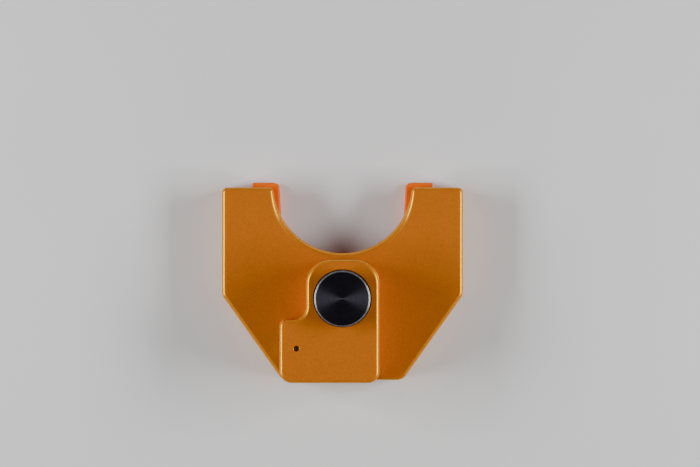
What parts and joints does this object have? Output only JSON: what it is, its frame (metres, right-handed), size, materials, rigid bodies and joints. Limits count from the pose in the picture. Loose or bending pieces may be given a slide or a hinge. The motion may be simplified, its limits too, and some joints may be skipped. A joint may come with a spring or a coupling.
{
  "type": "trailer coupler lock",
  "caption": "Horseshoe lock that grips the rim of a trailer ball coupler, with a push-in plunger that blocks the ball socket and a side key barrel that frees it.",
  "frame": {"origin": "middle of the bounding box, on the flat face of the jaw liner's ring that the lock rests on", "axes": "+X across the horseshoe towards the side without the keyhole, +Y from the flat front face towards the open arms, +Z from the coupler side up to the plunger's head (which faces the road when fitted)"},
  "size_m": [0.112, 0.0918, 0.0525],
  "materials": {
    "gold_paint": "fine metallic flake under clear coat",
    "orange_liner": "moulded, matte",
    "blacked_steel": "turned face, blacked",
    "hard_steel": "ground",
    "spring_steel": "drawn wire",
    "bronze": "sintered",
    "zinc": "die-cast",
    "brass": "machined",
    "stainless": "stamped, polished",
    "black_plastic": "moulded, fine texture"
  },
  "bodies": {
    "housing": {"lock_body": "gold_paint", "jaw_liner": "orange_liner", "guide_bush": "bronze", "plunger_spring": "spring_steel", "barrel_housing": "zinc", "barrel_pin": "hard_steel", "face_plate": "black_plastic"},
    "plunger": {"plunger": "blacked_steel", "plunger_nose": "hard_steel"},
    "plug": {"barrel_plug": "brass", "plug_cap": "stainless", "plug_clip": "spring_steel", "wafer_spring_1": "spring_steel", "wafer_spring_2": "spring_steel", "wafer_spring_3": "spring_steel", "wafer_spring_4": "spring_steel", "wafer_spring_5": "spring_steel", "shutter_spring": "spring_steel"},
    "wafers": {"wafer_1": "brass", "wafer_2": "brass", "wafer_3": "brass", "wafer_4": "brass", "wafer_5": "brass"},
    "shutter": {"key_shutter": "stainless"},
    "pawl": {"locking_pawl": "hard_steel"}
  },
  "joints": [
    {"name": "plunger_push", "type": "slide", "parent": "housing", "child": "plunger", "axis": [0, 0, 1], "range_m": [-0.012, 0], "stiffness_N_per_m": 600, "springref_m": 0.012, "deforming": ["plunger_spring"]},
    {"name": "plug_turn", "type": "hinge", "parent": "housing", "child": "plug", "pos_m": [0, -0.0314, 0.0312], "axis": [1, 0, 0], "range_deg": [0, 90]},
    {"name": "pawl_slide", "type": "slide", "parent": "housing", "child": "pawl", "axis": [0, 1, 0], "range_m": [0, 0.00255]},
    {"name": "wafer_rise", "type": "slide", "parent": "plug", "child": "wafers", "axis": [0, 0, 1], "range_m": [0, 0.001], "stiffness_N_per_m": 300, "springref_m": 0.003, "deforming": ["wafer_spring_1", "wafer_spring_2", "wafer_spring_3", "wafer_spring_4", "wafer_spring_5"]},
    {"name": "shutter_swing", "type": "hinge", "parent": "plug", "child": "shutter", "pos_m": [-0.0261, -0.0331, 0.0312], "axis": [0, 0, -1], "range_deg": [0, 75], "stiffness_Nm_per_rad": 0.002, "springref_deg": -28.65}
  ],
  "couplings": [
    {"joint": "plug_turn", "follows": "pawl_slide", "rad_per_m": 617.03}
  ]
}
